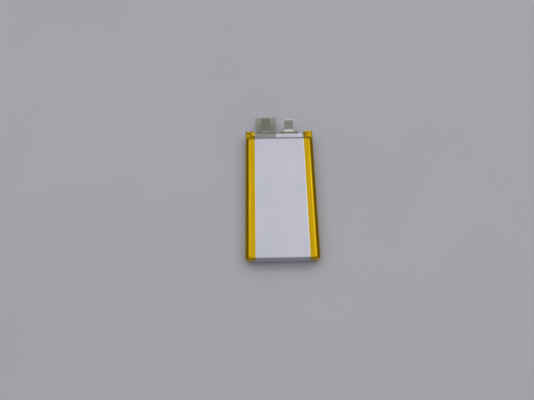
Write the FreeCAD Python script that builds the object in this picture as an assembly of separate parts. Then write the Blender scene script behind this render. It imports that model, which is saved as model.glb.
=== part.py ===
import FreeCAD, Part
import math
import os

"""Single lithium polymer pouch cell, 6 x 30 x 60 mm without tabs, with a flat-wound electrode roll.

Millimetres. +X runs across the cell towards the negative tab, +Y along it towards the tabs, +Z out of
the front face. The origin is the centre of the rear face, on which the cell lies.
"""

# ---------------------------------------------------------------- driving dimensions
CELL_WIDTH = 30.0  # over the side tapes
CELL_LENGTH = 59.0  # from the folded bottom end to the outer edge of the top seal
CELL_THICKNESS = 6.0

FILM = 0.113  # aluminium laminate
TERRACE = 3.0  # depth of the top seal ledge
SHOULDER_RADIUS = 2.0  # long edges of the drawn cups
BOTTOM_RADIUS = 0.5  # short edges of the drawn cups at the folded bottom end
STEP_RADIUS = 1.2  # short edges beside the top seal, where the roll leaves the film room to sink in
FOLD_RADIUS = 0.35  # where the end walls meet at the middle plane
CORNER_RADIUS = 1.2  # corners of the cups in plan
END_DRAFT = 0.2  # how far the end walls lean out, from each face to the middle plane
FLANGE_GAP = 0.05  # between a cup wall and the seal flange folded against it
FLANGE_WRAP = 22.0  # degrees of the front shoulder that the folded flange follows

TAPE = 0.06  # side tape
TAPE_FRONT = 4.2  # how far the side tape reaches over the front face
TAPE_REAR = 2.3

TAB_WIDTH = 4.0
TAB_THICKNESS = 0.1
TAB_PITCH = 10.4  # between the two tabs' centre lines
TAB_OFFSET = -0.6  # of the pair from the cell's centre line
TAB_DEPTH = 40.0  # how far a tab reaches into the roll

SEAL_FILM_WIDTH = 8.6
SEAL_FILM = 0.08  # over the tab's face
SEAL_OUTSIDE = 1.0  # how far the seal films show past the top seal
SEAL_INSIDE = 0.4
SEAL_SLOPE = 0.6  # width of the laminate's ramp beside a seal film

NEGATIVE_BASE = 2.4  # flat length of the bare tab past the top seal
NEGATIVE_RAMP = 4.15
NEGATIVE_TIP = 0.35
NEGATIVE_RISE = 27.0  # degrees
NEGATIVE_BEND = 1.0  # bend radius

ALUMINIUM_OUTSIDE = 5.0  # length of the aluminium tab past the top seal
EXTENSION_START = 1.7  # where the nickel extension starts, past the top seal
EXTENSION_END = 8.35
WELD_COLUMNS = 4
WELD_ROWS = 5
WELD_PITCH = 0.62
WELD_RADIUS = 0.16
WELD_DEPTH = 0.04

COVER_WIDTH = 9.4  # insulating tape folded over the positive tab
COVER = 0.05
COVER_PAST_TIP = 0.4
COVER_START = 0.45  # gap between the cup's end wall and the tape
COVER_CLEARANCE = 0.01

SEPARATOR = 0.03
FOIL = 0.02  # bare current collector at the start of each electrode
ANODE_SPARE = 0.01  # how much thicker the coated anode is than a tab and its tape on bare foil
CATHODE_SPARE = 0.0
CORE_HALF = 0.1  # smallest half height of the roll's core
ROLL_CLEARANCE = 0.05  # above and below the roll
ROLL_SIDE_CLEARANCE = 0.25
HEADSPACE = 1.7  # between the roll and the end wall at the tabs
ANODE_MARGIN = 0.7  # how far the separators stand past the anode at each end
CATHODE_MARGIN = 1.2
COATING_START = 2.0  # where the coating starts, before the first turn
TAIL = 4.0  # straight length after the last turn

WELD_TAPE = 0.03
WELD_TAPE_MARGIN = 1.0
ROLL_TAPE = 0.03
ROLL_TAPE_WIDTH = 10.0
ROLL_TAPE_GAP = 2.0  # from the closing tape to the roll's top end and to the bottom tape
BOTTOM_TAPE_WIDTH = 18.0
BOTTOM_TAPE_LEG = 7.0

# ---------------------------------------------------------------- derived sizes
FRONT_FLANGE = FLANGE_GAP + FILM  # from a cup wall to the outside of the front film's flange
FLANGE = FRONT_FLANGE + FILM  # what the folded flange adds to a side
CUP_HALF = CELL_WIDTH / 2 - TAPE - FLANGE
CUP_LENGTH = CELL_LENGTH - TERRACE
BOTTOM_Y = -CUP_LENGTH / 2
STEP_Y = CUP_LENGTH / 2
SEAL_Y = STEP_Y + TERRACE
MID_Z = CELL_THICKNESS / 2
LOW_Z = TAPE
HIGH_Z = CELL_THICKNESS - TAPE
SHOULDER_X = CUP_HALF - SHOULDER_RADIUS
FRONT_PAD = CELL_WIDTH / 2 - TAPE_FRONT
REAR_PAD = CELL_WIDTH / 2 - TAPE_REAR
FLANGE_Y = (BOTTOM_Y + CORNER_RADIUS, SEAL_Y)
FAR = 4 * (CELL_LENGTH + CELL_WIDTH)  # longer than anything here

POSITIVE_X = TAB_OFFSET - TAB_PITCH / 2
NEGATIVE_X = TAB_OFFSET + TAB_PITCH / 2
SEAL_HALF = TAB_THICKNESS / 2 + SEAL_FILM  # from the middle plane to a seal film's outer face

ANODE = FOIL + TAB_THICKNESS + WELD_TAPE + ANODE_SPARE
CATHODE = FOIL + TAB_THICKNESS + WELD_TAPE + CATHODE_SPARE
LAYERS = 2 * SEPARATOR + ANODE + CATHODE  # one turn of the roll
ROLL_HALF = MID_Z - TAPE - FILM - ROLL_CLEARANCE
TURNS = int((ROLL_HALF - SEPARATOR - CORE_HALF) / LAYERS)
LAST_HALF_TURN = 2 * TURNS
CORE_RADIUS = ROLL_HALF - SEPARATOR - TURNS * LAYERS
ROLL_RIGHT = CUP_HALF - FILM - ROLL_SIDE_CLEARANCE - ROLL_HALF
ROLL_LEFT = -ROLL_RIGHT - LAYERS / 2
ROLL_BOTTOM_Y = BOTTOM_Y + END_DRAFT + FILM + BOTTOM_RADIUS
ROLL_TOP_Y = STEP_Y - FILM - HEADSPACE
ANODE_BAND = (SEPARATOR, SEPARATOR + ANODE)
CATHODE_BAND = (LAYERS - CATHODE, LAYERS)


# ---------------------------------------------------------------- shape helpers
def vec(plane, u, v):
    """The point (u, v) of a drawing plane: "xy", "xz" or "yz"."""
    return {
        "xy": FreeCAD.Vector(u, v, 0),
        "xz": FreeCAD.Vector(u, 0, v),
        "yz": FreeCAD.Vector(0, u, v),
    }[plane]


def line(plane, p, q):
    return Part.LineSegment(vec(plane, *p), vec(plane, *q)).toShape()


def on_circle(centre, radius, degrees):
    angle = math.radians(degrees)
    return (
        centre[0] + radius * math.cos(angle),
        centre[1] + radius * math.sin(angle),
    )


def arc(plane, centre, radius, first, last):
    """An arc from one angle to another, in degrees, the short way round its middle angle."""
    angles = (first, (first + last) / 2, last)
    points = [vec(plane, *on_circle(centre, radius, a)) for a in angles]
    return Part.Arc(*points).toShape()


def extrude(edges, direction):
    wire = Part.Wire(Part.__sortEdges__(edges))
    return Part.Face(wire).extrude(direction)


def box(x, y, z):
    """A box from three (low, high) pairs."""
    sizes = [high - low for low, high in (x, y, z)]
    return Part.makeBox(*sizes, FreeCAD.Vector(x[0], y[0], z[0]))


def common(shape, *others):
    for other in others:
        shape = shape.common(other)
    return shape


def fuse(shape, *others):
    return shape.fuse(list(others)).removeSplitter()


def corner(before, at, after, radius):
    """Where a fillet of that radius leaves and meets the two lines through a corner, and its middle."""
    to_before = FreeCAD.Vector(before[0] - at[0], before[1] - at[1], 0).normalize()
    to_after = FreeCAD.Vector(after[0] - at[0], after[1] - at[1], 0).normalize()
    half = to_before.getAngle(to_after) / 2
    here = FreeCAD.Vector(at[0], at[1], 0)
    reach = radius / math.tan(half)
    inward = (to_before + to_after).normalize()
    centre = here + inward * (radius / math.sin(half))
    middle = centre - inward * radius
    return here + to_before * reach, middle, here + to_after * reach, centre


def rounded_polygon(plane, points, radii):
    """Edges of a closed polygon with each corner rounded by its own radius."""
    count = len(points)
    fillets = [
        corner(points[i - 1], points[i], points[(i + 1) % count], radii[i])
        for i in range(count)
    ]
    edges = []
    for i, (start, middle, end, _) in enumerate(fillets):
        arc_points = [vec(plane, p.x, p.y) for p in (start, middle, end)]
        edges.append(Part.Arc(*arc_points).toShape())
        following = fillets[(i + 1) % count][0]
        edges.append(line(plane, (end.x, end.y), (following.x, following.y)))
    return edges


def ribbon_side(points, radius, offset):
    """One side of a strip: the path through (y, z) points with rounded bends, shifted sideways."""
    edges = []
    normals = []
    for p, q in zip(points, points[1:]):
        length = math.hypot(q[0] - p[0], q[1] - p[1])
        normals.append((-(q[1] - p[1]) / length, (q[0] - p[0]) / length))

    def shifted(p, normal):
        return (p[0] + offset * normal[0], p[1] + offset * normal[1])

    at = shifted(points[0], normals[0])
    first = at
    for i in range(1, len(points) - 1):
        start, middle, end, centre = corner(*points[i - 1 : i + 2], radius)
        leave = shifted((start.x, start.y), normals[i - 1])
        meet = shifted((end.x, end.y), normals[i])
        away = FreeCAD.Vector(leave[0] - centre.x, leave[1] - centre.y, 0).Length
        top = centre + (middle - centre).normalize() * away
        edges.append(line("yz", at, leave))
        bend = [vec("yz", *p) for p in (leave, (top.x, top.y), meet)]
        edges.append(Part.Arc(*bend).toShape())
        at = meet
    last = shifted(points[-1], normals[-1])
    edges.append(line("yz", at, last))
    return edges, first, last


def ribbon(points, radius, thickness, x):
    """A strip of even thickness across x, along a path of (y, z) points with rounded bends."""
    upper, upper_first, upper_last = ribbon_side(points, radius, thickness / 2)
    lower, lower_first, lower_last = ribbon_side(points, radius, -thickness / 2)
    ends = [line("yz", upper_first, lower_first), line("yz", upper_last, lower_last)]
    solid = extrude(upper + lower + ends, FreeCAD.Vector(x[1] - x[0], 0, 0))
    solid.translate(FreeCAD.Vector(x[0], 0, 0))
    return solid


def across(centre, width):
    return (centre - width / 2, centre + width / 2)


# ---------------------------------------------------------------- pouch
def end_profile(grow):
    """The pouch from the side: both end walls lean out to the middle plane, where the film folds."""
    low, high = LOW_Z - grow, HIGH_Z + grow
    left, right = BOTTOM_Y - grow, STEP_Y + grow
    points = [
        (left + END_DRAFT, low),
        (right - END_DRAFT, low),
        (right, MID_Z),
        (right - END_DRAFT, high),
        (left + END_DRAFT, high),
        (left, MID_Z),
    ]
    bottom, step, fold = BOTTOM_RADIUS + grow, STEP_RADIUS + grow, FOLD_RADIUS + grow
    edges = rounded_polygon("yz", points, [bottom, step, fold, step, bottom, fold])
    solid = extrude(edges, FreeCAD.Vector(FAR, 0, 0))
    solid.translate(FreeCAD.Vector(-FAR / 2, 0, 0))
    return solid


def plan_profile(half_width, grow):
    """The pouch from above, a rectangle with rounded corners, through the whole thickness."""
    x, radius = half_width + grow, CORNER_RADIUS + grow
    left, right = BOTTOM_Y - grow, STEP_Y + grow
    points = [(-x, left), (x, left), (x, right), (-x, right)]
    edges = rounded_polygon("xy", points, [radius] * 4)
    solid = extrude(edges, FreeCAD.Vector(0, 0, FAR))
    solid.translate(FreeCAD.Vector(0, 0, -FAR / 2))
    return solid


def run_along(edges):
    """A cross-section run far past both ends of the cell."""
    solid = extrude(edges, FreeCAD.Vector(0, FAR, 0))
    solid.translate(FreeCAD.Vector(0, -FAR / 2, 0))
    return solid


def cups(grow):
    """The two drawn cups, face to face, as one solid grown outwards by a distance."""
    x, radius = CUP_HALF + grow, SHOULDER_RADIUS + grow
    low, high = LOW_Z - grow, HIGH_Z + grow
    points = [(-x, low), (x, low), (x, high), (-x, high)]
    body = run_along(rounded_polygon("xz", points, [radius] * 4))
    return common(body, end_profile(grow), plan_profile(CUP_HALF, grow))


def taut_side(grow):
    """The +X half of the cell inside the side tape, pulled tight over the cup and the flange.

    Past the cup the tape runs on at full height and turns down to the ledge at its inner edge.
    """
    front = (SHOULDER_X, HIGH_Z - SHOULDER_RADIUS)
    rear = (SHOULDER_X, LOW_Z + SHOULDER_RADIUS)
    over = SHOULDER_RADIUS + FLANGE
    tip = on_circle(front, over, FLANGE_WRAP)
    lean = FLANGE_WRAP + math.degrees(math.acos(SHOULDER_RADIUS / over))
    hem = (CUP_HALF + FLANGE, MID_Z - FILM)
    reach = math.hypot(hem[0] - rear[0], hem[1] - rear[1])
    slope = math.degrees(
        math.atan2(hem[1] - rear[1], hem[0] - rear[0])
        - math.acos(SHOULDER_RADIUS / reach)
    )
    near, wide = SHOULDER_RADIUS + grow, over + grow
    edges = [
        line("xz", (0, LOW_Z - grow), (0, HIGH_Z + grow)),
        line("xz", (0, HIGH_Z + grow), (front[0], HIGH_Z + grow)),
        arc("xz", front, near, 90, lean),
        line("xz", on_circle(front, near, lean), on_circle(tip, grow, lean)),
        arc("xz", front, wide, FLANGE_WRAP, 0),
        line("xz", on_circle(front, wide, 0), on_circle(hem, grow, 0)),
        line("xz", on_circle(hem, grow, slope), on_circle(rear, near, slope)),
        arc("xz", rear, near, slope, -90),
        line("xz", (rear[0], LOW_Z - grow), (0, LOW_Z - grow)),
    ]
    if grow:
        edges.append(arc("xz", tip, grow, lean, FLANGE_WRAP))
        edges.append(arc("xz", hem, grow, 0, slope))
    section = run_along(edges)
    body = common(section, end_profile(grow), plan_profile(CUP_HALF + FLANGE, grow))
    ledge_y = (STEP_Y - max(CORNER_RADIUS, STEP_RADIUS + END_DRAFT), SEAL_Y)
    ledge = box(
        (0, CUP_HALF + FLANGE + grow),
        ledge_y,
        (MID_Z - FILM - grow, MID_Z + FILM + grow),
    )
    over_ledge = box((FRONT_PAD + TAPE - grow, FAR), ledge_y, (MID_Z, FAR))
    return body.fuse([ledge, common(section, over_ledge)])


def flange(inner, bottom):
    """One layer of the side seal flange, folded up along the cup wall and over its shoulder, +X side."""
    centre = (SHOULDER_X, HIGH_Z - SHOULDER_RADIUS)
    near, wide = SHOULDER_RADIUS + inner, SHOULDER_RADIUS + inner + FILM
    edges = [
        line("xz", (SHOULDER_X + near, bottom), on_circle(centre, near, 0)),
        arc("xz", centre, near, 0, FLANGE_WRAP),
        line("xz", on_circle(centre, near, FLANGE_WRAP), on_circle(centre, wide, FLANGE_WRAP)),
        arc("xz", centre, wide, FLANGE_WRAP, 0),
        line("xz", on_circle(centre, wide, 0), (SHOULDER_X + wide, bottom)),
        line("xz", (SHOULDER_X + wide, bottom), (SHOULDER_X + near, bottom)),
    ]
    low, high = FLANGE_Y
    solid = extrude(edges, FreeCAD.Vector(0, high - low, 0))
    solid.translate(FreeCAD.Vector(0, low, 0))
    return solid


def flange_root(reach, z):
    """The strip of film between a cup wall and its folded flange layer, +X side."""
    return box((CUP_HALF - FILM, CUP_HALF + reach), FLANGE_Y, z)


def both_sides(shape):
    return [shape, shape.mirror(FreeCAD.Vector(0, 0, 0), FreeCAD.Vector(1, 0, 0))]


def ledge_film(half):
    """The front film of the top seal, raised over each tab's seal films. half is half its width."""
    shape = [(-half, 0.0)]
    for x in (POSITIVE_X, NEGATIVE_X):
        inner = SEAL_FILM_WIDTH / 2
        shape += [
            (x - inner - SEAL_SLOPE, 0.0),
            (x - inner, SEAL_HALF),
            (x + inner, SEAL_HALF),
            (x + inner + SEAL_SLOPE, 0.0),
        ]
    shape.append((half, 0.0))
    lower = [(x, MID_Z + z) for x, z in shape]
    upper = [(x, z + FILM) for x, z in reversed(lower)]
    outline = lower + upper
    edges = [line("xz", p, q) for p, q in zip(outline, outline[1:] + outline[:1])]
    solid = extrude(edges, FreeCAD.Vector(0, SEAL_Y - STEP_Y + FILM, 0))
    solid.translate(FreeCAD.Vector(0, STEP_Y - FILM, 0))
    return solid


def seal_passages():
    """The space that the two tabs' seal films fill where they cross the top seal."""
    y = (STEP_Y - HEADSPACE, SEAL_Y + SEAL_OUTSIDE)
    z = (MID_Z - SEAL_HALF, MID_Z + SEAL_HALF)
    return [box(across(x, SEAL_FILM_WIDTH), y, z) for x in (POSITIVE_X, NEGATIVE_X)]


def pouch_shells():
    """The laminate's front and rear halves. They meet at the bottom fold and along the seals."""
    everything = (-FAR, FAR)
    front_half = box(everything, everything, (MID_Z, FAR))
    rear_half = box(everything, everything, (-FAR, MID_Z))
    shells = []
    for half, pad, inner in (
        (front_half, FRONT_PAD, FLANGE_GAP),
        (rear_half, REAR_PAD, FLANGE_GAP + FILM),
    ):
        outer_pad = box((-pad, pad), everything, everything)
        inner_pad = box((FILM - pad, pad - FILM), everything, everything)
        outside = fuse(cups(0), common(cups(TAPE), outer_pad))
        cavity = fuse(cups(-FILM), common(cups(TAPE - FILM), inner_pad))
        cup = common(outside.cut(cavity), half)
        root = (MID_Z, MID_Z + FILM) if half is front_half else (MID_Z - FILM, MID_Z)
        ledge = ledge_film(CUP_HALF + inner + FILM)
        if half is rear_half:
            ledge = ledge.mirror(FreeCAD.Vector(0, 0, MID_Z), FreeCAD.Vector(0, 0, 1))
        pieces = [ledge]
        pieces += both_sides(flange(inner, root[0]))
        pieces += both_sides(flange_root(inner + FILM, root))
        shells.append(fuse(cup, *pieces).cut(seal_passages()).removeSplitter())
    return shells


def side_tapes():
    """Tape over each long side, its folded flange, the end of the top seal and the bottom corner."""
    skin = taut_side(TAPE).cut(taut_side(0))
    everything = (-FAR, FAR)
    front = box((FRONT_PAD, FAR), everything, (MID_Z, FAR))
    rear = box((REAR_PAD, FAR), everything, (-FAR, MID_Z))
    right = common(skin, front.fuse(rear)).removeSplitter()
    return right, both_sides(right)[1]


# ---------------------------------------------------------------- tabs and their seals
def tab_height(band):
    """The height of a tab's middle where it lies on its electrode's bare foil."""
    return MID_Z + CORE_RADIUS + band[0] + FOIL + TAB_THICKNESS / 2


def tab_path(band):
    """A tab's path from inside the roll, down to the middle plane and out to the top seal's edge."""
    height = tab_height(band)
    jog_end = STEP_Y - FILM - SEAL_INSIDE - TAB_THICKNESS
    jog_start = jog_end - (HEADSPACE - SEAL_INSIDE) / 2
    return [
        (ROLL_TOP_Y - TAB_DEPTH, height),
        (jog_start, height),
        (jog_end, MID_Z),
    ]


def negative_tab():
    rise = math.radians(NEGATIVE_RISE)
    base_y = SEAL_Y + NEGATIVE_BASE
    top_y = base_y + NEGATIVE_RAMP * math.cos(rise)
    top_z = MID_Z + NEGATIVE_RAMP * math.sin(rise)
    inside = ribbon(
        tab_path(ANODE_BAND) + [(STEP_Y, MID_Z)],
        TAB_THICKNESS,
        TAB_THICKNESS,
        across(NEGATIVE_X, TAB_WIDTH),
    )
    outside = ribbon(
        [(STEP_Y, MID_Z), (base_y, MID_Z), (top_y, top_z), (top_y + NEGATIVE_TIP, top_z)],
        NEGATIVE_BEND,
        TAB_THICKNESS,
        across(NEGATIVE_X, TAB_WIDTH),
    )
    return fuse(inside, outside)


def positive_tab():
    return ribbon(
        tab_path(CATHODE_BAND) + [(SEAL_Y + ALUMINIUM_OUTSIDE, MID_Z)],
        TAB_THICKNESS,
        TAB_THICKNESS,
        across(POSITIVE_X, TAB_WIDTH),
    )


def tab_extension():
    """The nickel strip on the aluminium tab, with the dimples of its ultrasonic weld."""
    z = MID_Z + TAB_THICKNESS / 2
    strip = box(
        across(POSITIVE_X, TAB_WIDTH),
        (SEAL_Y + EXTENSION_START, SEAL_Y + EXTENSION_END),
        (z, z + TAB_THICKNESS),
    )
    weld_y = SEAL_Y + (EXTENSION_START + ALUMINIUM_OUTSIDE) / 2
    dimples = []
    for column in range(WELD_COLUMNS):
        for row in range(WELD_ROWS):
            x = POSITIVE_X + (column - (WELD_COLUMNS - 1) / 2) * WELD_PITCH
            y = weld_y + (row - (WELD_ROWS - 1) / 2) * WELD_PITCH
            foot = FreeCAD.Vector(x, y, z + TAB_THICKNESS - WELD_DEPTH)
            dimples.append(
                Part.makeCone(WELD_RADIUS / 2, WELD_RADIUS, WELD_DEPTH, foot)
            )
    return strip.cut(dimples)


def seal_films(x, tab):
    """The front and rear polypropylene films moulded round a tab where it crosses the top seal."""
    y = (STEP_Y - FILM - SEAL_INSIDE, SEAL_Y + SEAL_OUTSIDE)
    wide = across(x, SEAL_FILM_WIDTH)
    front = box(wide, y, (MID_Z, MID_Z + SEAL_HALF)).cut(tab)
    rear = box(wide, y, (MID_Z - SEAL_HALF, MID_Z)).cut(tab)
    return front, rear


def tab_cover():
    """The insulating tape over the positive tab, folded round its tip."""
    on_seal = MID_Z + SEAL_HALF + FILM + COVER / 2 + COVER_CLEARANCE
    on_tab = MID_Z + 1.5 * TAB_THICKNESS + COVER / 2 + COVER_CLEARANCE
    under = MID_Z - TAB_THICKNESS / 2 - COVER / 2 - COVER_CLEARANCE
    fold_y = SEAL_Y + EXTENSION_END + COVER_PAST_TIP
    path = [
        (STEP_Y + COVER_START, on_seal),
        (SEAL_Y + COVER, on_seal),
        (SEAL_Y + EXTENSION_START - COVER, on_tab),
        (fold_y, on_tab),
        (fold_y, under),
        (SEAL_Y + SEAL_OUTSIDE + COVER, under),
    ]
    return ribbon(path, COVER, COVER, across(POSITIVE_X, COVER_WIDTH))


# ---------------------------------------------------------------- electrode roll
def half_turn_radius(index):
    return CORE_RADIUS + index * LAYERS / 2


def spiral_side(offset, last, start_x, tail):
    """One face of a wound sheet: straight runs joined by half turns, even ones right, odd ones left."""
    edges = []
    at = (start_x, MID_Z + CORE_RADIUS + offset)
    first = at
    for index in range(last + 1):
        radius = half_turn_radius(index) + offset
        if index % 2 == 0:
            centre, angles = (ROLL_RIGHT, MID_Z), (90, -90)
        else:
            centre, angles = (ROLL_LEFT, MID_Z + LAYERS / 2), (270, 90)
        enter, leave = (on_circle(centre, radius, a) for a in angles)
        edges.append(line("xz", at, enter))
        edges.append(arc("xz", centre, radius, *angles))
        at = leave
    end = (at[0] - tail, at[1])
    edges.append(line("xz", at, end))
    return edges, first, end


def wound_sheet(band, last, start_x, tail, margin):
    """A sheet wound from the core outwards. band is its place within one turn, inner to outer face."""
    inner, inner_first, inner_last = spiral_side(band[0], last, start_x, tail)
    outer, outer_first, outer_last = spiral_side(band[1], last, start_x, tail)
    ends = [line("xz", inner_first, outer_first), line("xz", inner_last, outer_last)]
    low, high = ROLL_BOTTOM_Y + margin, ROLL_TOP_Y - margin
    sheet = extrude(inner + outer + ends, FreeCAD.Vector(0, high - low, 0))
    sheet.translate(FreeCAD.Vector(0, low, 0))
    return sheet


def electrode(band, margin):
    """A coated foil. Its first run is bare, and carries the tab."""
    coated_x = ROLL_RIGHT - COATING_START
    sheet = wound_sheet(band, LAST_HALF_TURN - 2, coated_x, TAIL, margin)
    z = MID_Z + CORE_RADIUS + band[0]
    y = (ROLL_BOTTOM_Y + margin, ROLL_TOP_Y - margin)
    return fuse(sheet, box((ROLL_LEFT, coated_x), y, (z, z + FOIL)))


def weld_tape(x, band):
    """The tape over a tab's weld to its foil, inside the roll."""
    z = tab_height(band) + TAB_THICKNESS / 2
    y = (ROLL_TOP_Y - TAB_DEPTH - WELD_TAPE_MARGIN, ROLL_TOP_Y - CATHODE_MARGIN)
    return box(across(x, TAB_WIDTH + 2 * WELD_TAPE_MARGIN), y, (z, z + WELD_TAPE))


def closing_tape():
    """The tape that holds the end of the outer separator, on the roll's rear side."""
    end_x = ROLL_RIGHT - 2 * TAIL
    y = (ROLL_BOTTOM_Y + BOTTOM_TAPE_LEG + ROLL_TAPE_GAP, ROLL_TOP_Y - ROLL_TAPE_GAP)
    low = MID_Z - ROLL_HALF - ROLL_TAPE
    return box(across(end_x, ROLL_TAPE_WIDTH), y, (low, low + ROLL_TAPE))


def bottom_tape():
    """The tape folded round the roll's bottom end."""
    height = ROLL_HALF + ROLL_TAPE / 2
    out = ROLL_BOTTOM_Y - ROLL_TAPE
    path = [
        (ROLL_BOTTOM_Y + BOTTOM_TAPE_LEG, MID_Z + height),
        (out, MID_Z + height),
        (out, MID_Z - height),
        (ROLL_BOTTOM_Y + BOTTOM_TAPE_LEG, MID_Z - height),
    ]
    return ribbon(path, ROLL_TAPE, ROLL_TAPE, across(0, BOTTOM_TAPE_WIDTH))


def main():
    front_shell, rear_shell = pouch_shells()
    right_tape, left_tape = side_tapes()
    negative, positive = negative_tab(), positive_tab()
    negative_front, negative_rear = seal_films(NEGATIVE_X, negative)
    positive_front, positive_rear = seal_films(POSITIVE_X, positive)
    second_separator = (SEPARATOR + ANODE, 2 * SEPARATOR + ANODE)
    nodes = {
        "pouch_front_shell": front_shell,
        "pouch_rear_shell": rear_shell,
        "side_tape_right": right_tape,
        "side_tape_left": left_tape,
        "positive_tab": positive,
        "positive_tab_extension": tab_extension(),
        "positive_tab_cover_tape": tab_cover(),
        "positive_seal_film_front": positive_front,
        "positive_seal_film_rear": positive_rear,
        "negative_tab": negative,
        "negative_seal_film_front": negative_front,
        "negative_seal_film_rear": negative_rear,
        "separator_outer": wound_sheet((0, SEPARATOR), LAST_HALF_TURN, ROLL_LEFT, 2 * TAIL, 0),
        "separator_inner": wound_sheet(second_separator, LAST_HALF_TURN - 2, ROLL_LEFT, TAIL, 0),
        "anode_sheet": electrode(ANODE_BAND, ANODE_MARGIN),
        "cathode_sheet": electrode(CATHODE_BAND, CATHODE_MARGIN),
        "anode_weld_tape": weld_tape(NEGATIVE_X, ANODE_BAND),
        "cathode_weld_tape": weld_tape(POSITIVE_X, CATHODE_BAND),
        "roll_closing_tape": closing_tape(),
        "roll_bottom_tape": bottom_tape(),
    }
    os.makedirs("parts", exist_ok=True)
    for name, shape in nodes.items():
        shape.exportStep(f"parts/{name}.step")
        size = shape.BoundBox
        print(
            f"{name:28s} solids {len(shape.Solids)} valid {shape.isValid()} volume {shape.Volume:9.3f}"
            f"  x {size.XMin:7.2f} {size.XMax:7.2f}  y {size.YMin:7.2f} {size.YMax:7.2f}"
            f"  z {size.ZMin:6.3f} {size.ZMax:6.3f}"
        )


main()
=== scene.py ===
"""Looks of a lithium polymer pouch cell: laminate bag, amber side tapes, tabs and their tapes.

Lengths are in millimetres in the cell's own frame and become metres when a mesh is made.
"""

import math

import bpy
import numpy as np
from mathutils import Matrix, Vector, noise


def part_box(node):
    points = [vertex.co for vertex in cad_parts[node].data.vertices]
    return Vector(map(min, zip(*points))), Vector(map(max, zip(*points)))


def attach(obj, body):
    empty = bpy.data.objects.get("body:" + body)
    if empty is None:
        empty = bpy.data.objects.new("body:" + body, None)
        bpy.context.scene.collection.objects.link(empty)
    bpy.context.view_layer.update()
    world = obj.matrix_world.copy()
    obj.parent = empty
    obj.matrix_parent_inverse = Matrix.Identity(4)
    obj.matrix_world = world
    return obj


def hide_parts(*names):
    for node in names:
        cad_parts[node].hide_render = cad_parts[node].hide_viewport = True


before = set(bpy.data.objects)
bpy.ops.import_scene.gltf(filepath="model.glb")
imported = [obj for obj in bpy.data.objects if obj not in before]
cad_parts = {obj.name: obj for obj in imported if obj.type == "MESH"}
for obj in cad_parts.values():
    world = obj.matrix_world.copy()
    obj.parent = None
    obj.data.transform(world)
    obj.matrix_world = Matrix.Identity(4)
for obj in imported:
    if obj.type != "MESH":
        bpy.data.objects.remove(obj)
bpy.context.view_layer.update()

MM = 0.001


def node_box(name):
    """A CAD node's lowest and highest corners, in millimetres."""
    return [np.array(corner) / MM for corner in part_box(name)]


# ---------------------------------------------------------------- sizes taken from the CAD model
TAPE_LOW, TAPE_HIGH = node_box("side_tape_right")
SHELL_LOW = node_box("pouch_front_shell")[0]
SEAL_LOW, SEAL_HIGH = node_box("positive_seal_film_front")
NEGATIVE_SEAL_LOW, NEGATIVE_SEAL_HIGH = node_box("negative_seal_film_front")
COVER_LOW, COVER_HIGH = node_box("positive_tab_cover_tape")
EXTENSION_LOW, EXTENSION_HIGH = node_box("positive_tab_extension")

# ---------------------------------------------------------------- sizes repeated from the CAD model
TAPE = 0.06
FILM = 0.113
SHOULDER_RADIUS = 2.0
FLANGE_GAP = 0.05
FLANGE_WRAP = 22.0  # degrees of the shoulder that the folded flange follows
BOTTOM_RADIUS = 0.5
CORNER_RADIUS = 1.2
TAPE_REAR = 2.3
COVER = 0.05

FLANGE = FLANGE_GAP + 2 * FILM
FRONT_EDGE = TAPE_LOW[0]  # inner edge of the side tape on the front face
REAR_EDGE = TAPE_HIGH[0] - TAPE_REAR
SIDE_X = TAPE_HIGH[0] - TAPE  # under the side tape
CUP_X = SIDE_X - FLANGE
SHOULDER_X = CUP_X - SHOULDER_RADIUS
BOTTOM_Y = TAPE_LOW[1] + TAPE
STEP_Y = -BOTTOM_Y
SEAL_Y = TAPE_HIGH[1]
TOP_Z = TAPE_HIGH[2]
MID_Z = SHELL_LOW[2]
HIGH_Z = TOP_Z - TAPE
HALF = HIGH_Z - MID_Z  # half thickness under the tape
SEAL_BUMP = SEAL_HIGH[2] - MID_Z

# ---------------------------------------------------------------- looks
RIDGE = 0.12  # how far the bottom fold stands out of the end wall
RIDGE_HALF = 0.55  # half height of that fold
STEP_LEAN = 0.2  # how far the other end wall bulges out over the ledge
STEP_RADIUS = 0.9  # rounding beside the top seal, below the sunken strip of the face
STEP_SINK = 0.42  # how far the faces sink beside the top seal, where no roll holds them up
SINK_LENGTH = 1.5
PAD_INSET = 0.12  # from the tape's edge in to where the bare face has its full height
PAD_FOOT = 0.1  # from the tape's edge out to where the film lies level under the tape
FACE_DIP = 0.05  # depth of the hollows of the large faces
FACE_DIP_SIZE = 11.0
FACE_CALM = 4.0  # margin of the faces that the hollows fade out in
SEAL_RAMP = 0.7  # width of the film's rise beside a tab's seal film
LEDGE_WAVE = 0.09
LEDGE_WAVE_SIZE = 3.2
STEP_PLAN = 0.3  # how much of the rounding beside the top seal the cup's corners follow in plan
STEP_START = 1.3  # from the step back to the last row of the plain face
FLANGE_TRIM = 0.05  # unevenness of the flange's cut edge
TAPE_WRINKLE = 0.006
HOOD_FOOT = 0.22  # height over the middle plane where the tape comes down to the ledge
HOOD_TOP = 4.9  # height of the tape's inner edge at the end of the ledge
FLAP_Y = STEP_Y + 1.5  # middle of the triangular flap folded up in the left tape
FLAP_LENGTH = 3.1  # from the tape's inner edge to the flap's tip
FLAP_SPREAD = 0.36  # half width over length
FLAP_SLOPE = 0.27
CREASE_DEPTH = 0.6  # of the creases past the cup, as shares of each tape's own depth
CREASE_WIDTH = 0.3
FOLD_HEIGHT = 0.9
FOLD_WIDTH = 0.28  # of the slanting fold, as a share of the tape's width
DENT_SIZE = 0.9
LEAF_REST = 0.012  # from the middle plane to a leaf of the cover tape beside the strip
LEAF_RISE = 0.16  # how much further out it lies over the strip
LEAF_RAMP = 0.6  # width of that rise
LEAF_WRINKLE = 0.05
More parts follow.
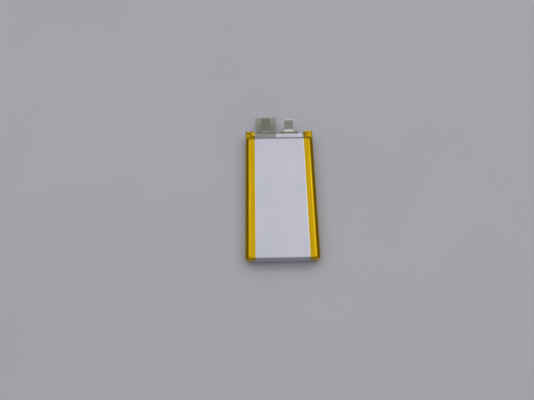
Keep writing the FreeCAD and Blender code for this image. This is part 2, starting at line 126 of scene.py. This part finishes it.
LEAF_TRIM = 0.07  # unevenness of the cover tape's cut sides


# ---------------------------------------------------------------- mesh helpers
def smooth(low, high, value):
    """0 below low, 1 above high, and a smooth rise between them."""
    t = min(max((value - low) / (high - low), 0.0), 1.0)
    return t * t * (3 - 2 * t)


def lerp(a, b, t):
    return a + (b - a) * t


def wave(x, y, z, seed, size):
    """Smooth noise between about -1 and 1, with bumps of about that size in millimetres."""
    return noise.noise(Vector((x / size + 17.0 * seed, y / size, z / size)))


def spaced(low, high, count):
    """Evenly spaced values, both ends included."""
    return list(np.linspace(low, high, count))


def grid_normals(points):
    along = np.gradient(points, axis=0)
    across = np.gradient(points, axis=1)
    normals = np.cross(across, along)
    lengths = np.linalg.norm(normals, axis=2, keepdims=True)
    return normals / np.maximum(lengths, 1e-9)


def sheet_data(points, thickness):
    """Vertices and faces of a closed sheet whose outer face is a grid of points."""
    points = np.array(points, dtype=float)
    rows, columns = points.shape[:2]
    inner = points - grid_normals(points) * thickness
    vertices = np.concatenate([points.reshape(-1, 3), inner.reshape(-1, 3)])
    back = rows * columns

    def at(i, j):
        return i * columns + j

    faces = []
    for i in range(rows - 1):
        for j in range(columns - 1):
            quad = (at(i, j), at(i, j + 1), at(i + 1, j + 1), at(i + 1, j))
            faces.append(quad)
            faces.append(tuple(back + k for k in reversed(quad)))
    rim = [at(0, j) for j in range(columns)]
    rim += [at(i, columns - 1) for i in range(1, rows)]
    rim += [at(rows - 1, j) for j in range(columns - 2, -1, -1)]
    rim += [at(i, 0) for i in range(rows - 2, 0, -1)]
    for a, b in zip(rim, rim[1:] + rim[:1]):
        faces.append((b, a, back + a, back + b))
    return vertices, faces


def make_piece(name, sheets, material, replaced):
    """One object from several closed sheets. It stands for the CAD nodes it replaces."""
    vertices = []
    faces = []
    for sheet_vertices, sheet_faces in sheets:
        start = len(vertices)
        vertices += [tuple(v * MM) for v in sheet_vertices]
        faces += [tuple(start + k for k in face) for face in sheet_faces]
    mesh = bpy.data.meshes.new(name)
    mesh.from_pydata(vertices, [], faces)
    mesh.validate()
    mesh.materials.append(material)
    mesh.shade_smooth()
    mesh.set_sharp_from_angle(angle=math.radians(50))
    piece = bpy.data.objects.new(name, mesh)
    bpy.context.scene.collection.objects.link(piece)
    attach(piece, "root")
    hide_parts(*replaced)
    return piece


def mirrored(points):
    """The same grid on the other side of the cell, still facing outwards."""
    points = np.array(points, dtype=float) * (-1, 1, 1)
    return points[:, ::-1]


def turned_over(points):
    """The same grid on the rear of the cell, still facing outwards."""
    points = np.array(points, dtype=float)
    points[:, :, 2] = 2 * MID_Z - points[:, :, 2]
    return points[:, ::-1]


def arc_points(centre, radius, first, last, count):
    angles = np.radians(spaced(first, last, count))
    return [(centre[0] + radius * math.cos(a), centre[1] + radius * math.sin(a)) for a in angles]


def straight(start, end, count):
    """Points of a straight line, both ends included."""
    return [(lerp(start[0], end[0], t), lerp(start[1], end[1], t)) for t in spaced(0, 1, count)]


def section_normals(section):
    """Outward unit normals of an (x, z) section that runs from the front round to the rear."""
    points = np.array(section)
    tangent = np.gradient(points, axis=0)
    normals = np.stack([-tangent[:, 1], tangent[:, 0]], axis=1)
    return normals / np.linalg.norm(normals, axis=1, keepdims=True)


def fractions(section):
    """Each point's share of the section's length."""
    points = np.array(section)
    steps = np.linalg.norm(np.diff(points, axis=0), axis=1)
    along = np.concatenate([[0.0], np.cumsum(steps)])
    return along / along[-1]


def along_path(path, share):
    """The point at a share of a polyline's length."""
    parts = fractions(path)
    points = np.array(path)
    return np.array([np.interp(share, parts, points[:, k]) for k in (0, 1)])


# ---------------------------------------------------------------- the pouch's end walls
def end_lean(z, end):
    """How far an end wall stands in from y = end at a height. The bottom one has a fold half way up."""
    off = abs(z - MID_Z)
    if end > 0:
        return -STEP_LEAN * smooth(0, HALF, off)
    return RIDGE * smooth(0, RIDGE_HALF, off)


def sink(y, z):
    """How far a point is drawn in towards the middle plane beside the top seal."""
    share = smooth(STEP_Y - SINK_LENGTH, STEP_Y, y)
    return STEP_SINK * share * smooth(0.5 * HALF, HALF, abs(z - MID_Z)) * (1 if z > MID_Z else -1)


def rim_point(point, normal, turn, end, plan):
    """A point of the rounding over the end at y = end.

    turn goes from 0 to a quarter turn, in radians. plan is how much of the rounding the corners follow
    in plan.
    """
    rounding = BOTTOM_RADIUS if end < 0 else STEP_RADIUS
    radius = rounding * abs(normal[1]) + CORNER_RADIUS * abs(normal[0])
    inset = radius * (1 - math.cos(turn))
    x = point[0] - normal[0] * inset * plan
    z = point[1] - normal[1] * inset
    reach = radius * (1 - math.sin(turn)) + end_lean(z, end)
    y = end - math.copysign(reach, end)
    return np.array((x, y, z - sink(y, z)))


# ---------------------------------------------------------------- laminate
def film_section(pad_edge):
    """A film's right half as (x, z) points, from the middle of the face to the foot of the wall."""
    centre = (SHOULDER_X, HIGH_Z - SHOULDER_RADIUS)
    face = [(x, TOP_Z) for x in spaced(0, min(pad_edge, SHOULDER_X) - PAD_INSET, 36)]
    margin = []
    if pad_edge < SHOULDER_X:
        margin = [(x, HIGH_Z) for x in spaced(pad_edge + PAD_FOOT, SHOULDER_X + 0.04, 5)]
    shoulder = arc_points(centre, SHOULDER_RADIUS, 87, 0, 11)
    wall = [(CUP_X, z) for z in spaced(centre[1], MID_Z + FILM, 5)]
    return face + margin + shoulder + wall[1:]


def whole_section(right):
    """A section from the left wall over the face to the right wall, from its right half."""
    left = [(-x, z) for x, z in reversed(right[1:])]
    return left + right


def spread_x(section):
    """Where each section point lies across a flat part of the film: walls and shoulders are laid out."""
    xs = np.array(section)[:, 0]
    outer = [i for i, x in enumerate(xs) if x >= SHOULDER_X]
    laid = spaced(SHOULDER_X, SIDE_X, len(outer))
    for k, i in enumerate(outer):
        xs[i] = laid[k]
        xs[len(xs) - 1 - i] = -laid[k]
    return xs


def ledge_height(x, y, seed):
    """How far the sealed ledge is raised over the tabs' seal films, and how far its waves lift it."""
    raised = 0.0
    for low, high in ((SEAL_LOW, SEAL_HIGH), (NEGATIVE_SEAL_LOW, NEGATIVE_SEAL_HIGH)):
        inside = smooth(low[0] - SEAL_RAMP, low[0], x)
        inside *= 1 - smooth(high[0], high[0] + SEAL_RAMP, x)
        raised = max(raised, inside)
    wavy = LEDGE_WAVE * smooth(STEP_Y, SEAL_Y, y) * wave(x, 0.4 * y, 0, seed, LEDGE_WAVE_SIZE)
    return raised * SEAL_BUMP, wavy


def face_wave(x, y, seed):
    """Shallow hollows of the large face, none at its edges."""
    edge = smooth(0, FACE_CALM, FRONT_EDGE - abs(x)) * smooth(0, FACE_CALM, STEP_Y - abs(y))
    return -FACE_DIP * edge * (0.5 + 0.5 * wave(x, y, 0, seed, FACE_DIP_SIZE))


def film_grid(pad_edge, seed):
    """The outer face of one film half, in front: end fold, end wall, cup, end wall, sealed ledge."""
    section = whole_section(film_section(pad_edge))
    normals = section_normals(section)
    laid = spread_x(section)
    rows = []
    for share in spaced(0, 1, 9)[:-1]:
        rows.append([])
        for point, normal, x in zip(section, normals, laid):
            rim = rim_point(point, normal, math.pi / 2, BOTTOM_Y, 1)
            end_x = x * (SIDE_X - CORNER_RADIUS) / SIDE_X
            z = lerp(MID_Z, rim[2], share)
            y = BOTTOM_Y + end_lean(z, BOTTOM_Y)
            rows[-1].append((lerp(end_x, rim[0], smooth(0, 1, share)), y, z))
    for turn in spaced(math.pi / 2, 0, 7):
        rows.append([rim_point(p, n, turn, BOTTOM_Y, 1) for p, n in zip(section, normals)])
    for y in spaced(BOTTOM_Y + 1.7, STEP_Y - STEP_START, 110):
        rows.append([(x, y, z + face_wave(x, y, seed) - sink(y, z)) for x, z in section])
    for turn in spaced(0, math.pi / 2, 7):
        rows.append([rim_point(p, n, turn, STEP_Y, STEP_PLAN) for p, n in zip(section, normals)])
    foot_z = MID_Z + FILM
    for share in spaced(0, 1, 7)[1:]:
        rows.append([])
        for point, normal, x in zip(section, normals, laid):
            rim = rim_point(point, normal, math.pi / 2, STEP_Y, STEP_PLAN)
            raised, _ = ledge_height(x, STEP_Y, seed)
            z = lerp(rim[2], foot_z + raised, share)
            rows[-1].append((lerp(rim[0], x, smooth(0, 1, share)), STEP_Y + 0.1 * share**3, z))
    for y in spaced(STEP_Y + 0.25, SEAL_Y, 22):
        rows.append([])
        for x in laid:
            raised, wavy = ledge_height(x, y, seed)
            rows[-1].append((x, y, foot_z + raised + wavy))
    return np.array(rows)


def flange_grid(lift):
    """The outer face of one flange layer on the right, from the ledge's height up over the shoulder."""
    centre = (SHOULDER_X, HIGH_Z - SHOULDER_RADIUS)
    radius = SHOULDER_RADIUS + FLANGE_GAP + lift
    section = arc_points(centre, radius, FLANGE_WRAP, 0, 9)
    section += [(centre[0] + radius, z) for z in spaced(centre[1], MID_Z, 6)[1:]]
    rows = []
    for y in spaced(BOTTOM_Y + CORNER_RADIUS, SEAL_Y, 80):
        trim = FLANGE_TRIM * wave(0, y, 0, 4 + lift, 6.0)
        rows.append([(x, y, z + trim * smooth(MID_Z + 1, HIGH_Z, z)) for x, z in section])
    return np.array(rows)


def film_piece(name, pad_edge, lift, seed, node, material, turn):
    film = film_grid(pad_edge, seed)
    flange = flange_grid(lift)
    if turn:
        film = turned_over(film)
    sheets = [sheet_data(g, FILM) for g in (film, flange, mirrored(flange))]
    return make_piece(name, sheets, material, [node])


# ---------------------------------------------------------------- side tapes
def tape_section():
    """The surface under the right tape, from its inner edge in front round the side to the rear.

    The tape runs straight from the cup's shoulder to the tip of the folded flange.
    """
    front = (SHOULDER_X, HIGH_Z - SHOULDER_RADIUS)
    rear = (SHOULDER_X, 2 * MID_Z - front[1])
    over = SHOULDER_RADIUS + FLANGE
    lean = FLANGE_WRAP + math.degrees(math.acos(SHOULDER_RADIUS / over))
    section = [(x, HIGH_Z) for x in spaced(FRONT_EDGE, SHOULDER_X, 8)]
    section += arc_points(front, SHOULDER_RADIUS, 87, lean, 14)
    tip = arc_points(front, over, FLANGE_WRAP, 0, 6)
    section += straight(section[-1], tip[0], 5)[1:-1] + tip
    section += [(SIDE_X, z) for z in spaced(front[1], MID_Z - FILM, 6)[1:]]
    under = arc_points(rear, SHOULDER_RADIUS, 8, -89, 15)
    return section + straight(section[-1], under[0], 5)[1:-1] + under


def hood_section(section, along):
    """The tape past the cup: up from the ledge, over to the flange, round it, and back under the ledge.

    along goes from 0 at the cup to 1 at the end of the ledge, where the tape has sunk.
    """
    inner = lerp(HIGH_Z - STEP_SINK, HOOD_TOP, along)
    centre = (SHOULDER_X, HIGH_Z - SHOULDER_RADIUS)
    hood = [(FRONT_EDGE + 0.03, MID_Z + HOOD_FOOT), (FRONT_EDGE + 0.1, MID_Z + 1.2)]
    hood += [(FRONT_EDGE + 0.3, inner - 0.25), (FRONT_EDGE + 0.7, inner)]
    hood += [(SHOULDER_X, lerp(HIGH_Z - STEP_SINK, 0.5 * (HOOD_TOP + HIGH_Z), along))]
    hood += arc_points(centre, SHOULDER_RADIUS + FLANGE, FLANGE_WRAP + 8, 0, 6)
    hood += [(SIDE_X, MID_Z)]
    front_count = sum(1 for x, z in section if z >= MID_Z)
    shares = fractions(section[:front_count])
    shaped = [tuple(along_path(hood, share)) for share in shares]
    return shaped + [(x, MID_Z - FILM) for x, z in section[front_count:]]


def crumple(x, y, seed, depth):
    """How far the tape is lifted past the cup: a crease across, a slanting fold and small dents."""
    fold = STEP_Y + 0.1 * wave(x, 0, 0, seed, 1.5)
    crease = -CREASE_DEPTH * math.exp(-(((y - fold) / CREASE_WIDTH) ** 2))
    slant = (x - FRONT_EDGE) / (SIDE_X - FRONT_EDGE) - (y - STEP_Y) / (SEAL_Y - STEP_Y)
    ridge = FOLD_HEIGHT * max(0.0, 1 - abs(slant) / FOLD_WIDTH) * smooth(STEP_Y, STEP_Y + 0.4, y)
    dents = wave(x, y, 0, seed, DENT_SIZE) + 0.5 * wave(x, y, 0, seed + 3, DENT_SIZE / 2)
    return depth * (crease + ridge + dents * smooth(STEP_Y - 0.8, STEP_Y + 0.6, y))


def flap_height(x, y):
    """Height of a flat flap past the cup, a triangle that points outwards. Zero beside it."""
    reach = FRONT_EDGE + FLAP_LENGTH - x
    if reach < 0 or abs(y - FLAP_Y) > FLAP_SPREAD * reach:
        return 0.0
    return HIGH_Z - 0.1 - FLAP_SLOPE * (x - FRONT_EDGE)


def tape_grid(seed, depth, flap):
    """The outer face of the right tape. depth scales its creases past the cup, flap adds the flap."""
    section = tape_section()
    normals = section_normals(section)
    count = len(section)
    rear = [i for i, (x, z) in enumerate(section) if z < MID_Z - FILM]
    mid = min(range(count), key=lambda i: abs(section[i][1] - MID_Z))
    seam_x = SIDE_X - CORNER_RADIUS
    rows = []
    for share in spaced(0, 1, 9)[:-1]:
        rows.append([])
        for i, (point, normal) in enumerate(zip(section, normals)):
            rim = rim_point(point, normal, math.pi / 2, BOTTOM_Y, 1)
            if i <= mid:
                seam = lerp(FRONT_EDGE, seam_x, i / mid)
            else:
                seam = lerp(seam_x, REAR_EDGE, (i - mid) / (count - 1 - mid))
            z = lerp(MID_Z + 0.01 * (mid - i) / count, rim[2], share)
            rows[-1].append((lerp(seam, rim[0], share), BOTTOM_Y + end_lean(z, BOTTOM_Y), z))
    for turn in spaced(math.pi / 2, 0, 7):
        rows.append([rim_point(p, n, turn, BOTTOM_Y, 1) for p, n in zip(section, normals)])
    for y in spaced(BOTTOM_Y + 1.6, STEP_Y - STEP_START, 120):
        rows.append([(x, y, z - sink(y, z)) for x, z in section])
    for y in spaced(STEP_Y - STEP_START, SEAL_Y, 46)[1:]:
        rows.append([])
        bent = smooth(STEP_Y - 0.7, STEP_Y + 0.5, y)
        hood = hood_section(section, smooth(STEP_Y, SEAL_Y, y))
        for i, point in enumerate(section):
            x = point[0]
            if i in rear:
                wall = smooth(STEP_Y - 0.9, STEP_Y + 0.12, y) ** 2
                z = max(point[1], lerp(0, MID_Z - FILM, wall))
            else:
                x = lerp(x, hood[i][0], bent)
                z = lerp(point[1] - sink(y, point[1]), hood[i][1], bent)
                free = smooth(MID_Z + 0.6, MID_Z + 1.8, z)
                free *= 1 - smooth(SIDE_X - 0.9, SIDE_X - 0.2, x)
                z = min(z + free * crumple(x, y, seed, depth), HIGH_Z)
                if flap and i > 0 and z > MID_Z + 1:
                    z = max(z, flap_height(x, y))
            rows[-1].append((x, y, z))
    grid = np.array(rows)
    outward = grid_normals(grid)
    for row, normal_row in zip(grid, outward):
        for point, normal in zip(row, normal_row):
            lift = TAPE + TAPE_WRINKLE * wave(point[0], 0.15 * point[1], point[2], seed, 1.6)
            point += normal * lift
    return grid


def tape_piece(name, node, material, seed, depth, left):
    grid = tape_grid(seed, depth, left)
    if left:
        grid = mirrored(grid)
    return make_piece(name, [sheet_data(grid, TAPE * 0.8)], material, [node])


# ---------------------------------------------------------------- positive tab cover
def cover_grid(under):
    """One leaf of the folded tape over the positive tab, pressed together beside the strip."""
    x_low, x_high = COVER_LOW[0], COVER_HIGH[0]
    metal_low, metal_high = EXTENSION_LOW[0], EXTENSION_HIGH[0]
    start = SEAL_HIGH[1] + 0.05 if under else COVER_LOW[1]
    leaf = -1 if under else 1
    rows = []
    for y in spaced(start, COVER_HIGH[1], 60):
        rows.append([])
        wrinkle = LEAF_WRINKLE * smooth(SEAL_Y, SEAL_Y + 2, y)
        for x in spaced(x_low, x_high, 44):
            over = smooth(metal_low - 0.1 - LEAF_RAMP, metal_low - 0.1, x)
            over *= 1 - smooth(metal_high + 0.1, metal_high + 0.1 + LEAF_RAMP, x)
            over *= 1 - smooth(EXTENSION_HIGH[1], EXTENSION_HIGH[1] + 0.3, y)
            height = leaf * (LEAF_REST + LEAF_RISE * over)
            on_seal = 1 - smooth(SEAL_Y, SEAL_Y + 1.0, y)
            height = lerp(height, leaf * (SEAL_BUMP + FILM + 0.07), on_seal)
            shared = wrinkle * wave(x, y, 0, 8, 2.2)
            outward = abs(2 * (x - x_low) / (x_high - x_low) - 1)
            side = LEAF_TRIM * wave(0, y, 0, 9, 2.5) * smooth(0.3, 1, outward)
            rows[-1].append((x + side, y, MID_Z + height + shared + leaf * COVER))
    return np.array(rows)


def cover_piece(material):
    front = cover_grid(False)
    rear = cover_grid(True)[:, ::-1]
    sheets = [sheet_data(g, COVER) for g in (front, rear)]
    return make_piece("positive_tab_cover", sheets, material, ["positive_tab_cover_tape"])


# ---------------------------------------------------------------- materials
class Nodes:
    """A new material's node tree, with short calls for the nodes used here."""

    def __init__(self, name):
        self.material = bpy.data.materials.new(name)
        self.material.use_nodes = True
        self.tree = self.material.node_tree
        self.shader = self.tree.nodes["Principled BSDF"]
        self.place = self.add("ShaderNodeTexCoord").outputs["Object"]

    def add(self, kind, **settings):
        node = self.tree.nodes.new(kind)
        for key, value in settings.items():
            setattr(node, key, value)
        return node

    def link(self, output, socket):
        self.tree.links.new(output, socket)

    def set(self, **values):
        for key, value in values.items():
            self.shader.inputs[key.replace("_", " ")].default_value = value

    def scaled(self, x, y, z):
        mapping = self.add("ShaderNodeMapping")
        mapping.inputs["Scale"].default_value = (x, y, z)
        self.link(self.place, mapping.inputs["Vector"])
        return mapping.outputs["Vector"]

    def noise(self, size, detail=3.0, stretch=(1, 1, 1)):
        """Noise with features of about that size in millimetres."""
        texture = self.add("ShaderNodeTexNoise")
        texture.inputs["Scale"].default_value = 1 / (size * MM)
        texture.inputs["Detail"].default_value = detail
        self.link(self.scaled(*stretch), texture.inputs["Vector"])
        return texture.outputs["Fac"]

    def ramp(self, value, stops):
        ramp = self.add("ShaderNodeValToRGB")
        self.link(value, ramp.inputs["Fac"])
        elements = ramp.color_ramp.elements
        while len(elements) < len(stops):
            elements.new(0.5)
        for element, (position, colour) in zip(elements, stops):
            element.position = position
            element.color = (*colour, 1)
        return ramp.outputs["Color"]

    def spread(self, value, low, high):
        """A 0.3 to 0.7 noise value mapped to a range."""
        remap = self.add("ShaderNodeMapRange")
        remap.inputs["From Min"].default_value = 0.3
        remap.inputs["From Max"].default_value = 0.7
        remap.inputs["To Min"].default_value = low
        remap.inputs["To Max"].default_value = high
        self.link(value, remap.inputs["Value"])
        return remap.outputs["Result"]

    def bumps(self, layers):
        """Bump layers as (height output, depth in millimetres), one over the other."""
        normal = None
        for height, depth in layers:
            bump = self.add("ShaderNodeBump")
            bump.inputs["Distance"].default_value = depth * MM
            self.link(height, bump.inputs["Height"])
            if normal is not None:
                self.link(normal, bump.inputs["Normal"])
            normal = bump.outputs["Normal"]
        self.link(normal, self.shader.inputs["Normal"])


def tinted(nodes, value, dark, light):
    """Base colour between two colours, following a noise value."""
    nodes.link(nodes.ramp(value, [(0.3, dark), (0.7, light)]), nodes.shader.inputs["Base Color"])


def laminate_material():
    """Silver aluminium laminate under a satin nylon film."""
    nodes = Nodes("laminate_silver")
    cloudy = nodes.noise(14.0, 2.0)
    tinted(nodes, cloudy, (0.62, 0.63, 0.69), (0.66, 0.665, 0.725))
    nodes.link(nodes.spread(nodes.noise(3.0), 0.20, 0.25), nodes.shader.inputs["Roughness"])
    nodes.set(Metallic=0.9, Coat_Weight=0.1, Coat_Roughness=0.2)
    grain = nodes.noise(0.22, 3.0)
    roll = nodes.noise(5.0, 1.0, (1, 0.15, 1))
    nodes.bumps([(roll, 0.015), (grain, 0.0015)])
    return nodes.material


def amber_material():
    """Amber polyimide film stuck on foil: golden, glossy, with air specks and streaks."""
    nodes = Nodes("amber_tape")
    streaks = nodes.noise(1.2, 3.0, (1, 0.06, 1))
    tinted(nodes, streaks, (0.60, 0.37, 0.002), (0.68, 0.43, 0.005))
    nodes.link(nodes.spread(nodes.noise(1.6), 0.15, 0.22), nodes.shader.inputs["Roughness"])
    nodes.set(Metallic=1.0, Coat_Weight=0.1, Coat_Roughness=0.08)
    nodes.bumps([(nodes.noise(2.5, 1.0, (1, 0.08, 1)), 0.012), (nodes.noise(0.5, 1.0), 0.0006)])
    return nodes.material


def metal_material(name, dark, light, rough):
    """Rolled strip with fine lines along the cell."""
    nodes = Nodes(name)
    lines = nodes.noise(0.12, 4.0, (1, 0.04, 1))
    tinted(nodes, lines, dark, light)
    nodes.link(nodes.spread(nodes.noise(0.8), rough, rough + 0.1), nodes.shader.inputs["Roughness"])
    nodes.set(Metallic=1.0)
    nodes.bumps([(lines, 0.003), (nodes.noise(1.4, 1.0), 0.008)])
    return nodes.material


def film_material(name, dark, light, alpha, rough):
    """Thin translucent film with a soft haze."""
    nodes = Nodes(name)
    tinted(nodes, nodes.noise(1.5), dark, light)
    nodes.link(nodes.spread(nodes.noise(1.0), rough, rough + 0.12), nodes.shader.inputs["Roughness"])
    nodes.link(nodes.spread(nodes.noise(2.0), alpha - 0.05, alpha + 0.05), nodes.shader.inputs["Alpha"])
    nodes.set(Coat_Weight=0.3, Coat_Roughness=0.15)
    nodes.bumps([(nodes.noise(1.1, 2.0), 0.02)])
    return nodes.material


def coated_material(name, dark, light, rough, grain):
    """Matt powder coating or porous film."""
    nodes = Nodes(name)
    tinted(nodes, nodes.noise(grain), dark, light)
    nodes.link(nodes.spread(nodes.noise(2 * grain), rough, rough + 0.1), nodes.shader.inputs["Roughness"])
    nodes.bumps([(nodes.noise(grain, 4.0), 0.01)])
    return nodes.material


def floor_material():
    """Pale lavender-grey table top with faint clouds."""
    nodes = Nodes("table_top")
    tinted(nodes, nodes.noise(90.0, 2.0), (0.73, 0.735, 0.78), (0.76, 0.765, 0.81))
    nodes.set(Roughness=0.6)
    nodes.bumps([(nodes.noise(0.5), 0.01)])
    return nodes.material


def dress_cad_nodes():
    """Materials for the CAD nodes that stay as they are."""
    nickel = metal_material("nickel_strip", (0.62, 0.61, 0.57), (0.72, 0.71, 0.67), 0.24)
    dull = metal_material("nickel_welded", (0.24, 0.23, 0.19), (0.32, 0.30, 0.25), 0.4)
    aluminium = metal_material("aluminium_strip", (0.68, 0.68, 0.67), (0.78, 0.78, 0.78), 0.28)
    # The seal films' dark brown is partly their own tint and partly painted shade: it stands for the
    # shadow along the sealed ledge's outer edge.
    seal = film_material("tab_sealant_and_painted_shade", (0.33, 0.29, 0.21), (0.43, 0.38, 0.28), 0.7, 0.35)
    separator = coated_material("separator_white", (0.82, 0.82, 0.80), (0.90, 0.90, 0.88), 0.5, 0.4)
    anode = coated_material("graphite_coating", (0.02, 0.02, 0.022), (0.05, 0.05, 0.055), 0.6, 0.15)
    cathode = coated_material("oxide_coating", (0.012, 0.012, 0.012), (0.03, 0.028, 0.026), 0.65, 0.12)
    green = film_material("weld_tape_green", (0.35, 0.45, 0.12), (0.42, 0.54, 0.18), 0.8, 0.3)
    blue = film_material("roll_tape_blue", (0.25, 0.36, 0.5), (0.3, 0.43, 0.58), 0.8, 0.3)
    dressed = {
        "negative_tab": nickel,
        "positive_tab": aluminium,
        "positive_tab_extension": dull,
        "positive_seal_film_front": seal,
        "positive_seal_film_rear": seal,
        "negative_seal_film_front": seal,
        "negative_seal_film_rear": seal,
        "separator_outer": separator,
        "separator_inner": separator,
        "anode_sheet": anode,
        "cathode_sheet": cathode,
        "anode_weld_tape": green,
        "cathode_weld_tape": green,
        "roll_closing_tape": blue,
        "roll_bottom_tape": blue,
    }
    for name, material in dressed.items():
        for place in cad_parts[name].material_slots:
            place.material = material


# ---------------------------------------------------------------- stage
CAMERA_HEIGHT = 169.8  # over the table
CAMERA_PITCH = 66.56  # degrees below the horizon
CAMERA_HEADING = -0.3  # degrees, how far the view is turned from the cell's long axis
CAMERA_ROLL = -0.77
CAMERA_BACK = 73.8  # from the frame's origin back to the camera, measured along the table
CAMERA_LEFT = 5.9  # and to its left
LENS = 29.0  # focal length
BRIGHT_SIDE = (0.0, 0.15, 0.99)  # towards the bright ceiling, as a direction to measure brightness by
ROOM_STOPS = ((0.0, 0.10), (0.3, 0.18), (0.5, 0.29), (0.7, 0.49), (0.9, 0.74))  # (measure, grey)
ROOM_BLUE = 1.04  # blue over grey
ROOM_STRENGTH = 1.10
DIM_SIDE = (0.0, -0.5, 0.87)  # where the person who looks down on the table keeps light out
DIM_STRENGTH = 0.42
DIM_EDGE = (0.72, 0.95)  # cosines from DIM_SIDE where the dimming starts and is full
BACKDROP = (0.50, 0.505, 0.53)  # the room as the camera sees it behind the table
FLOOR_HALF = 2.0  # metres
LAMP_PLACE = (0.285, 0.24, 0.495)  # metres, of the right lamp. The left one mirrors it.
LAMP_SIZE = 0.3  # metres across
LAMP_WATTS = {"left": 0.10, "right": 0.15}


def add_floor():
    mesh = bpy.data.meshes.new("table")
    corners = [(FLOOR_HALF * x, FLOOR_HALF * y, 0) for x, y in ((-1, -1), (1, -1), (1, 1), (-1, 1))]
    mesh.from_pydata(corners, [], [(0, 1, 2, 3)])
    mesh.materials.append(floor_material())
    floor = bpy.data.objects.new("table", mesh)
    bpy.context.scene.collection.objects.link(floor)


def add_lamp(name, place, watts):
    """A soft disk that faces the cell. The camera doesn't see it."""
    data = bpy.data.lights.new(name, "AREA")
    data.shape = "DISK"
    data.size = LAMP_SIZE
    data.energy = watts
    light = bpy.data.objects.new(name, data)
    light.location = place
    light.visible_camera = False
    light.rotation_euler = (-Vector(place)).to_track_quat("-Z", "Y").to_euler()
    bpy.context.scene.collection.objects.link(light)


def socket(sockets, name, kind):
    """The socket of that name and kind: a Mix node has one of each name for every kind."""
    return next(item for item in sockets if item.name == name and item.type == kind)


def along_direction(tree, direction):
    """How nearly each point of the room lies in a direction, as a cosine."""
    measure = tree.nodes.new("ShaderNodeVectorMath")
    measure.operation = "DOT_PRODUCT"
    measure.inputs[1].default_value = direction
    tree.links.new(tree.nodes.new("ShaderNodeTexCoord").outputs["Generated"], measure.inputs[0])
    return measure.outputs["Value"]


def room_colour(tree):
    """Bright ceiling, dim low down."""
    ramp = tree.nodes.new("ShaderNodeValToRGB")
    elements = ramp.color_ramp.elements
    for position, _ in ROOM_STOPS[1:-1]:
        elements.new(position)
    for element, (position, grey) in zip(elements, ROOM_STOPS):
        element.position = position
        element.color = (grey, grey, ROOM_BLUE * grey, 1)
    tree.links.new(along_direction(tree, BRIGHT_SIDE), ramp.inputs["Fac"])
    return ramp.outputs["Color"]


def room_strength(tree):
    """The room's strength, lower towards DIM_SIDE."""
    strength = tree.nodes.new("ShaderNodeMapRange")
    strength.interpolation_type = "SMOOTHSTEP"
    strength.inputs["From Min"].default_value = DIM_EDGE[0]
    strength.inputs["From Max"].default_value = DIM_EDGE[1]
    strength.inputs["To Min"].default_value = ROOM_STRENGTH
    strength.inputs["To Max"].default_value = DIM_STRENGTH
    tree.links.new(along_direction(tree, DIM_SIDE), strength.inputs["Value"])
    return strength.outputs["Result"]


def add_world():
    """Soft room light. Where the camera looks past the table it sees a plain pale backdrop instead."""
    world = bpy.data.worlds.new("room")
    world.use_nodes = True
    tree = world.node_tree
    background = tree.nodes["Background"]
    seen = tree.nodes.new("ShaderNodeMix")
    seen.data_type = "RGBA"
    socket(seen.inputs, "B", "RGBA").default_value = (*BACKDROP, 1)
    camera_ray = tree.nodes.new("ShaderNodeLightPath").outputs["Is Camera Ray"]
    tree.links.new(camera_ray, socket(seen.inputs, "Factor", "VALUE"))
    tree.links.new(room_colour(tree), socket(seen.inputs, "A", "RGBA"))
    tree.links.new(socket(seen.outputs, "Result", "RGBA"), background.inputs["Color"])
    tree.links.new(room_strength(tree), background.inputs["Strength"])
    bpy.context.scene.world = world


def add_camera():
    """The camera looks down along the cell from its bottom end."""
    heading = math.radians(CAMERA_HEADING)
    turn = Matrix.Rotation(heading, 4, "Z")
    place = turn @ Vector((-CAMERA_LEFT, -CAMERA_BACK, CAMERA_HEIGHT))
    look = Matrix.Rotation(math.radians(90 - CAMERA_PITCH), 4, "X")
    roll = Matrix.Rotation(math.radians(CAMERA_ROLL), 4, "Z")
    data = bpy.data.cameras.new("camera")
    data.lens = LENS
    data.sensor_width = 36.0
    data.clip_start = 0.001
    camera = bpy.data.objects.new("camera", data)
    camera.matrix_world = Matrix.Translation(place * MM) @ turn @ look @ roll
    bpy.context.scene.collection.objects.link(camera)
    bpy.context.scene.camera = camera


def build():
    laminate = laminate_material()
    amber = amber_material()
    cover = film_material("cover_film", (0.42, 0.42, 0.30), (0.50, 0.50, 0.37), 0.27, 0.22)
    film_piece("pouch_film_front", FRONT_EDGE, FILM, 1, "pouch_front_shell", laminate, False)
    film_piece("pouch_film_rear", REAR_EDGE, 2 * FILM, 2, "pouch_rear_shell", laminate, True)
    tape_piece("side_tape_film_right", "side_tape_right", amber, 5, 0.16, False)
    tape_piece("side_tape_film_left", "side_tape_left", amber, 6, 0.34, True)
    cover_piece(cover)
    dress_cad_nodes()
    add_floor()
    add_world()
    x, y, z = LAMP_PLACE
    add_lamp("lamp_left", (-x, y, z), LAMP_WATTS["left"])
    add_lamp("lamp_right", (x, y, z), LAMP_WATTS["right"])
    add_camera()
    bpy.context.scene.view_settings.view_transform = "Standard"


build()
